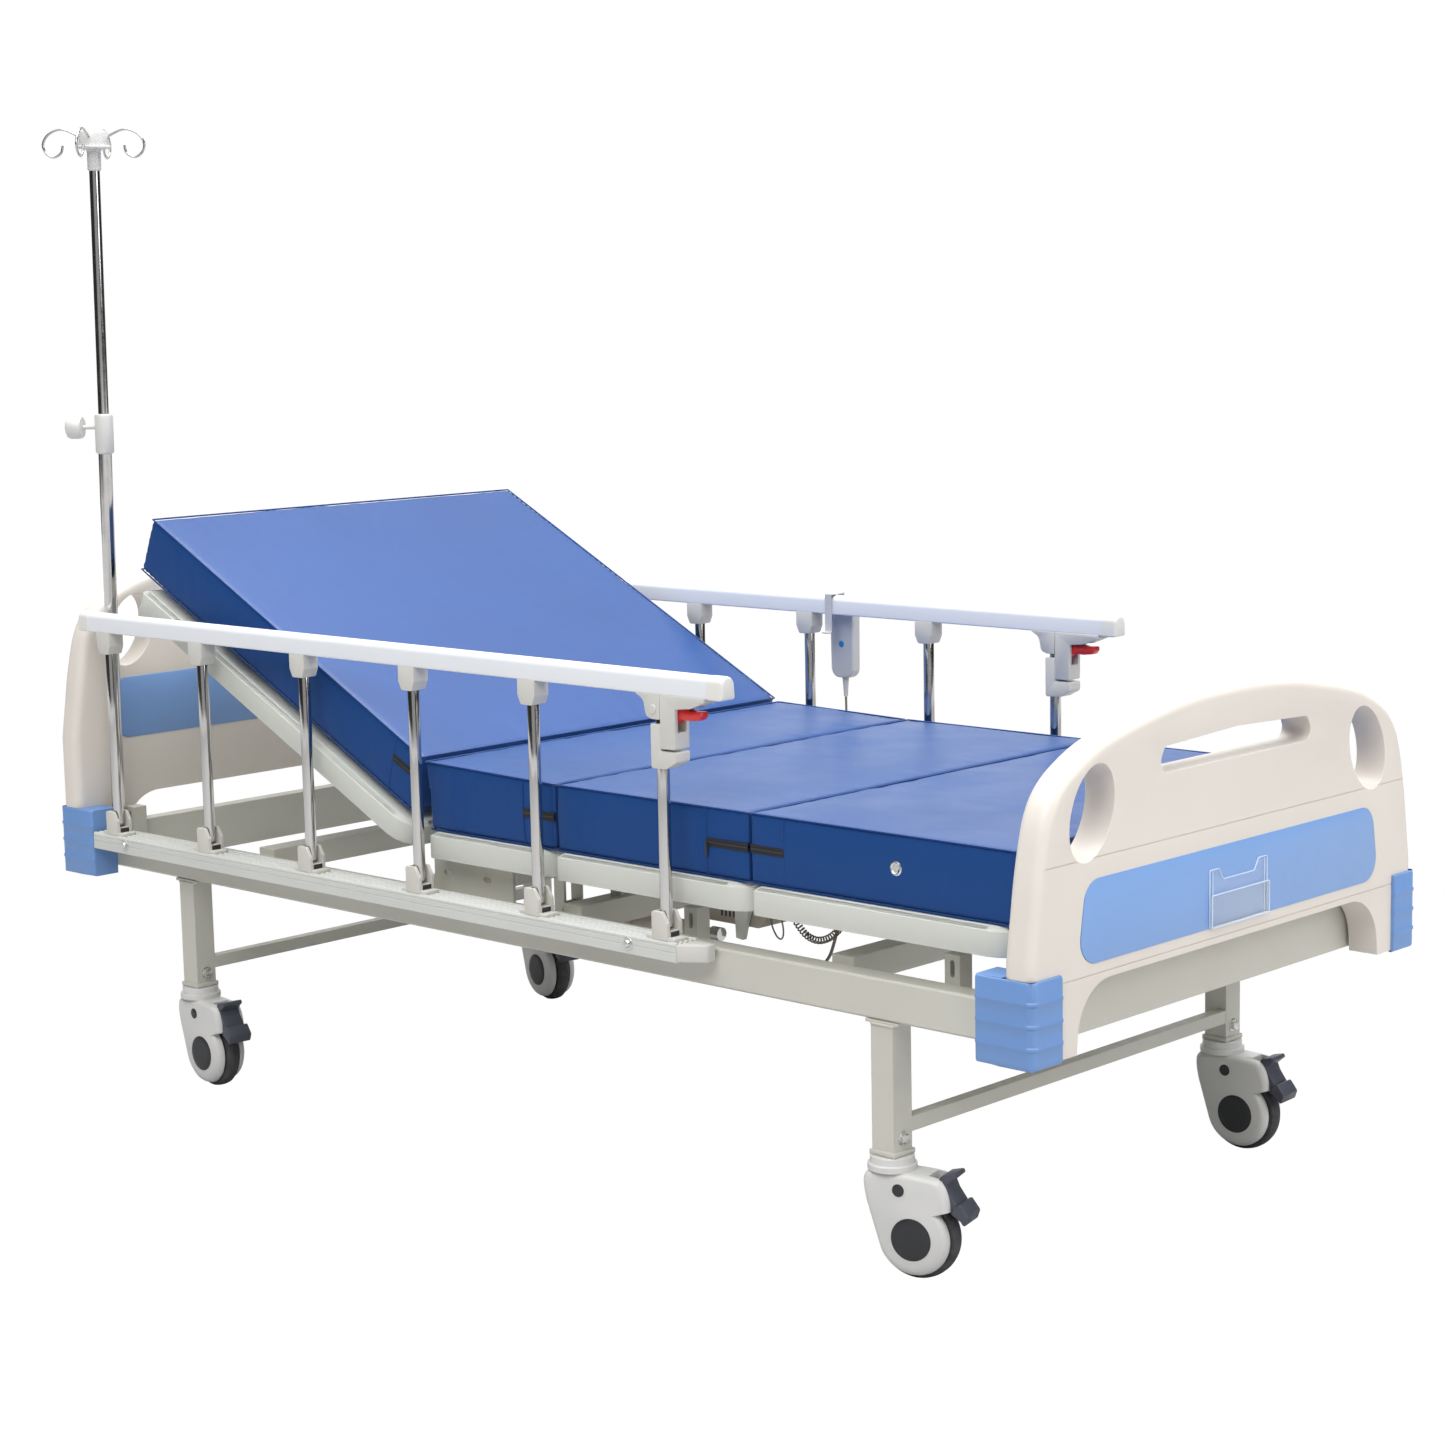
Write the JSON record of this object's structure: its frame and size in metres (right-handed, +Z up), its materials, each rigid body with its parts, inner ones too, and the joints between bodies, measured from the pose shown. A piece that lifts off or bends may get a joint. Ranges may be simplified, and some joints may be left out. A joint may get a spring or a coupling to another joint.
{
  "type": "hospital bed",
  "caption": "Adjustable hospital bed with a raising backrest and knee section, folding side rails, lift-off end boards, braked castors and an infusion pole.",
  "frame": {"origin": "on the floor under the middle of the bed", "axes": "+X towards the foot end, +Y to the far side, +Z up"},
  "size_m": [2.2384, 1.0012, 1.6975],
  "materials": {
    "frame_paint": "semi-gloss warm grey powder coat",
    "board_plastic": "satin blow-moulded ABS, warm white",
    "bumper_plastic": "satin moulded blue polypropylene",
    "deck_plastic": "fine-textured pale grey-green moulded ABS",
    "mattress_cover": "royal-blue polyurethane-coated woven cover",
    "rail_aluminium": "satin anodised, pale bluish silver",
    "red_plastic": "glossy red moulded plastic",
    "caster_plastic": "satin off-white nylon",
    "tyre_rubber": "dark grey tread rubber",
    "pedal_plastic": "textured slate-grey nylon",
    "stainless": "polished stainless tube",
    "actuator_plastic": "beige-brown moulded housing",
    "handset_plastic": "satin light grey plastic",
    "cord_jacket": "grey-brown PVC jacket",
    "clear_acrylic": "clear acrylic sheet"
  },
  "bodies": {
    "frame": {"bed_frame": "frame_paint", "leg_frame_head": "frame_paint", "leg_frame_foot": "frame_paint", "seat_deck": "deck_plastic", "mattress_seat": "mattress_cover", "rail_base_near": "rail_aluminium", "rail_base_far": "rail_aluminium", "iv_pole_lower": "stainless", "control_box": "actuator_plastic", "handset_coil": "cord_jacket", "handset_lead": "cord_jacket", "supply_lead": "cord_jacket", "bumper_near_foot": "bumper_plastic", "bumper_near_head": "bumper_plastic", "bumper_far_foot": "bumper_plastic", "bumper_far_head": "bumper_plastic"},
    "back_section": {"back_deck": "deck_plastic", "mattress_back": "mattress_cover"},
    "thigh_section": {"thigh_deck": "deck_plastic", "mattress_thigh": "mattress_cover"},
    "foot_section": {"foot_deck": "deck_plastic", "mattress_foot": "mattress_cover"},
    "back_drive": {"back_drive": "actuator_plastic"},
    "back_drive_rod": {"back_drive_rod": "stainless"},
    "thigh_drive": {"thigh_drive": "actuator_plastic"},
    "thigh_drive_rod": {"thigh_drive_rod": "stainless"},
    "caster_near_foot": {"caster_housing_near_foot": "caster_plastic"},
    "wheel_near_foot": {"caster_wheel_near_foot": "tyre_rubber"},
    "brake_near_foot": {"brake_pedal_near_foot": "pedal_plastic"},
    "caster_near_head": {"caster_housing_near_head": "caster_plastic"},
    "wheel_near_head": {"caster_wheel_near_head": "tyre_rubber"},
    "brake_near_head": {"brake_pedal_near_head": "pedal_plastic"},
    "caster_far_foot": {"caster_housing_far_foot": "caster_plastic"},
    "wheel_far_foot": {"caster_wheel_far_foot": "tyre_rubber"},
    "brake_far_foot": {"brake_pedal_far_foot": "pedal_plastic"},
    "caster_far_head": {"caster_housing_far_head": "caster_plastic"},
    "wheel_far_head": {"caster_wheel_far_head": "tyre_rubber"},
    "brake_far_head": {"brake_pedal_far_head": "pedal_plastic"},
    "rail_post_near_1": {"rail_post_near_1": "stainless"},
    "rail_post_near_2": {"rail_post_near_2": "stainless"},
    "rail_post_near_3": {"rail_post_near_3": "stainless"},
    "rail_post_near_4": {"rail_post_near_4": "stainless"},
    "rail_post_near_5": {"rail_post_near_5": "stainless"},
    "rail_post_near_6": {"rail_post_near_6": "stainless"},
    "rail_bar_near": {"rail_bar_near": "rail_aluminium"},
    "rail_trigger_near": {"rail_trigger_near": "red_plastic"},
    "rail_post_far_1": {"rail_post_far_1": "stainless"},
    "rail_post_far_2": {"rail_post_far_2": "stainless"},
    "rail_post_far_3": {"rail_post_far_3": "stainless"},
    "rail_post_far_4": {"rail_post_far_4": "stainless"},
    "rail_post_far_5": {"rail_post_far_5": "stainless"},
    "rail_post_far_6": {"rail_post_far_6": "stainless"},
    "rail_bar_far": {"rail_bar_far": "rail_aluminium"},
    "rail_trigger_far": {"rail_trigger_far": "red_plastic"},
    "handset": {"handset": "handset_plastic"},
    "footboard": {"footboard": "board_plastic", "card_holder": "clear_acrylic"},
    "headboard": {"headboard": "board_plastic"},
    "iv_pole_upper": {"iv_pole_upper": "stainless"},
    "iv_knob": {"iv_knob": "caster_plastic"}
  },
  "joints": [
    {"name": "back_lift", "type": "hinge", "parent": "frame", "child": "back_section", "pos_m": [-0.196, 0, 0.47], "axis": [0, 1, 0], "range_deg": [-26, 43.5]},
    {"name": "thigh_lift", "type": "hinge", "parent": "frame", "child": "thigh_section", "pos_m": [0.1505, 0, 0.5275], "axis": [0, -1, 0], "range_deg": [0, 40]},
    {"name": "knee_bend", "type": "hinge", "parent": "thigh_section", "child": "foot_section", "pos_m": [0.5645, 0, 0.4895], "axis": [0, 1, 0], "range_deg": [0, 74]},
    {"name": "back_drive_swing", "type": "hinge", "parent": "frame", "child": "back_drive", "pos_m": [0.1505, 0.125, 0.385], "axis": [0, 1, 0], "range_deg": [-6, 6]},
    {"name": "back_drive_stroke", "type": "slide", "parent": "back_drive", "child": "back_drive_rod", "axis": [-0.9977, 0, -0.0681], "range_m": [-0.047, 0.078]},
    {"name": "thigh_drive_swing", "type": "hinge", "parent": "frame", "child": "thigh_drive", "pos_m": [-0.196, -0.08, 0.345], "axis": [0, -1, 0], "range_deg": [0, 9]},
    {"name": "thigh_drive_stroke", "type": "slide", "parent": "thigh_drive", "child": "thigh_drive_rod", "axis": [1, 0, 0], "range_m": [0, 0.12]},
    {"name": "swivel_near_foot", "type": "hinge", "parent": "frame", "child": "caster_near_foot", "pos_m": [0.8113, -0.4143, 0.17], "axis": [0, 0, 1], "continuous": true},
    {"name": "wheel_spin_near_foot", "type": "hinge", "parent": "caster_near_foot", "child": "wheel_near_foot", "pos_m": [0.8509, -0.40369, 0.0625], "axis": [-0.2588, 0.9659, 0], "continuous": true},
    {"name": "brake_near_foot", "type": "hinge", "parent": "caster_near_foot", "child": "brake_near_foot", "pos_m": [0.89051, -0.39308, 0.142], "axis": [-0.2588, 0.9659, 0], "range_deg": [-10, 0]},
    {"name": "swivel_near_head", "type": "hinge", "parent": "frame", "child": "caster_near_head", "pos_m": [-0.8113, -0.4143, 0.17], "axis": [0, 0, 1], "continuous": true},
    {"name": "wheel_spin_near_head", "type": "hinge", "parent": "caster_near_head", "child": "wheel_near_head", "pos_m": [-0.7704, -0.41716, 0.0625], "axis": [0.0698, 0.9976, 0], "continuous": true},
    {"name": "brake_near_head", "type": "hinge", "parent": "caster_near_head", "child": "brake_near_head", "pos_m": [-0.7295, -0.42002, 0.142], "axis": [0.0698, 0.9976, 0], "range_deg": [-10, 0]},
    {"name": "swivel_far_foot", "type": "hinge", "parent": "frame", "child": "caster_far_foot", "pos_m": [0.8113, 0.4143, 0.17], "axis": [0, 0, 1], "continuous": true},
    {"name": "wheel_spin_far_foot", "type": "hinge", "parent": "caster_far_foot", "child": "wheel_far_foot", "pos_m": [0.85224, 0.41645, 0.0625], "axis": [-0.0523, 0.9986, 0], "continuous": true},
    {"name": "brake_far_foot", "type": "hinge", "parent": "caster_far_foot", "child": "brake_far_foot", "pos_m": [0.89319, 0.41859, 0.142], "axis": [-0.0523, 0.9986, 0], "range_deg": [-10, 0]},
    {"name": "swivel_far_head", "type": "hinge", "parent": "frame", "child": "caster_far_head", "pos_m": [-0.8113, 0.4143, 0.17], "axis": [0, 0, 1], "continuous": true},
    {"name": "wheel_spin_far_head", "type": "hinge", "parent": "caster_far_head", "child": "wheel_far_head", "pos_m": [-0.77152, 0.40438, 0.0625], "axis": [0.2419, 0.9703, 0], "continuous": true},
    {"name": "brake_far_head", "type": "hinge", "parent": "caster_far_head", "child": "brake_far_head", "pos_m": [-0.73174, 0.39446, 0.142], "axis": [0.2419, 0.9703, 0], "range_deg": [-10, 0]},
    {"name": "post_fold_near_1", "type": "hinge", "parent": "frame", "child": "rail_post_near_1", "pos_m": [-0.957, -0.4694, 0.467], "axis": [0, 1, 0], "range_deg": [0, 80]},
    {"name": "post_fold_near_2", "type": "hinge", "parent": "frame", "child": "rail_post_near_2", "pos_m": [-0.686, -0.4694, 0.467], "axis": [0, 1, 0], "range_deg": [0, 80]},
    {"name": "post_fold_near_3", "type": "hinge", "parent": "frame", "child": "rail_post_near_3", "pos_m": [-0.407, -0.4694, 0.467], "axis": [0, 1, 0], "range_deg": [0, 80]},
    {"name": "post_fold_near_4", "type": "hinge", "parent": "frame", "child": "rail_post_near_4", "pos_m": [-0.13, -0.4694, 0.467], "axis": [0, 1, 0], "range_deg": [0, 80]},
    {"name": "post_fold_near_5", "type": "hinge", "parent": "frame", "child": "rail_post_near_5", "pos_m": [0.15, -0.4694, 0.467], "axis": [0, 1, 0], "range_deg": [0, 80]},
    {"name": "rail_fold_near", "type": "hinge", "parent": "frame", "child": "rail_post_near_6", "pos_m": [0.427, -0.4694, 0.467], "axis": [0, 1, 0], "range_deg": [0, 80]},
    {"name": "bar_level_near", "type": "hinge", "parent": "rail_post_near_6", "child": "rail_bar_near", "pos_m": [0.427, -0.4694, 0.788], "axis": [0, 1, 0], "range_deg": [-80, 0]},
    {"name": "trigger_near", "type": "hinge", "parent": "rail_bar_near", "child": "rail_trigger_near", "pos_m": [0.453, -0.4694, 0.788], "axis": [0, 1, 0], "range_deg": [-5, 0], "stiffness_Nm_per_rad": 0.6, "springref_deg": 11.46},
    {"name": "post_fold_far_1", "type": "hinge", "parent": "frame", "child": "rail_post_far_1", "pos_m": [-0.948, 0.4694, 0.467], "axis": [0, 1, 0], "range_deg": [0, 80]},
    {"name": "post_fold_far_2", "type": "hinge", "parent": "frame", "child": "rail_post_far_2", "pos_m": [-0.677, 0.4694, 0.467], "axis": [0, 1, 0], "range_deg": [0, 80]},
    {"name": "post_fold_far_3", "type": "hinge", "parent": "frame", "child": "rail_post_far_3", "pos_m": [-0.398, 0.4694, 0.467], "axis": [0, 1, 0], "range_deg": [0, 80]},
    {"name": "post_fold_far_4", "type": "hinge", "parent": "frame", "child": "rail_post_far_4", "pos_m": [-0.121, 0.4694, 0.467], "axis": [0, 1, 0], "range_deg": [0, 80]},
    {"name": "post_fold_far_5", "type": "hinge", "parent": "frame", "child": "rail_post_far_5", "pos_m": [0.159, 0.4694, 0.467], "axis": [0, 1, 0], "range_deg": [0, 80]},
    {"name": "rail_fold_far", "type": "hinge", "parent": "frame", "child": "rail_post_far_6", "pos_m": [0.436, 0.4694, 0.467], "axis": [0, 1, 0], "range_deg": [0, 80]},
    {"name": "bar_level_far", "type": "hinge", "parent": "rail_post_far_6", "child": "rail_bar_far", "pos_m": [0.436, 0.4694, 0.788], "axis": [0, 1, 0], "range_deg": [-80, 0]},
    {"name": "trigger_far", "type": "hinge", "parent": "rail_bar_far", "child": "rail_trigger_far", "pos_m": [0.462, 0.4694, 0.788], "axis": [0, 1, 0], "range_deg": [-5, 0], "stiffness_Nm_per_rad": 0.6, "springref_deg": 11.46},
    {"name": "handset_lift", "type": "slide", "parent": "rail_bar_far", "child": "handset", "axis": [0, 0, 1], "range_m": [0, 0.1]},
    {"name": "footboard_lift", "type": "slide", "parent": "frame", "child": "footboard", "axis": [0, 0, 1], "range_m": [0, 0.2]},
    {"name": "headboard_lift", "type": "slide", "parent": "frame", "child": "headboard", "axis": [0, 0, 1], "range_m": [0, 0.2]},
    {"name": "iv_pole_height", "type": "slide", "parent": "frame", "child": "iv_pole_upper", "axis": [0.0227, 0, 0.9997], "range_m": [-0.42, 0.1]},
    {"name": "iv_knob_turn", "type": "hinge", "parent": "frame", "child": "iv_knob", "pos_m": [-1.03475, -0.42447, 1.17021], "axis": [-0.7986, -0.6018, 0], "range_deg": [0, 180]}
  ],
  "couplings": [
    {"joint": "knee_bend", "follows": "thigh_lift", "ratio": 1.85},
    {"joint": "back_drive_swing", "follows": "back_lift", "ratio": 0.09},
    {"joint": "back_drive_stroke", "follows": "back_lift", "m_per_rad": 0.098},
    {"joint": "thigh_drive_swing", "follows": "thigh_lift", "ratio": 0.182},
    {"joint": "thigh_drive_stroke", "follows": "thigh_lift", "m_per_rad": 0.1636},
    {"joint": "post_fold_near_1", "follows": "rail_fold_near", "ratio": 1},
    {"joint": "post_fold_near_2", "follows": "rail_fold_near", "ratio": 1},
    {"joint": "post_fold_near_3", "follows": "rail_fold_near", "ratio": 1},
    {"joint": "post_fold_near_4", "follows": "rail_fold_near", "ratio": 1},
    {"joint": "post_fold_near_5", "follows": "rail_fold_near", "ratio": 1},
    {"joint": "bar_level_near", "follows": "rail_fold_near", "ratio": -1},
    {"joint": "post_fold_far_1", "follows": "rail_fold_far", "ratio": 1},
    {"joint": "post_fold_far_2", "follows": "rail_fold_far", "ratio": 1},
    {"joint": "post_fold_far_3", "follows": "rail_fold_far", "ratio": 1},
    {"joint": "post_fold_far_4", "follows": "rail_fold_far", "ratio": 1},
    {"joint": "post_fold_far_5", "follows": "rail_fold_far", "ratio": 1},
    {"joint": "bar_level_far", "follows": "rail_fold_far", "ratio": -1}
  ]
}
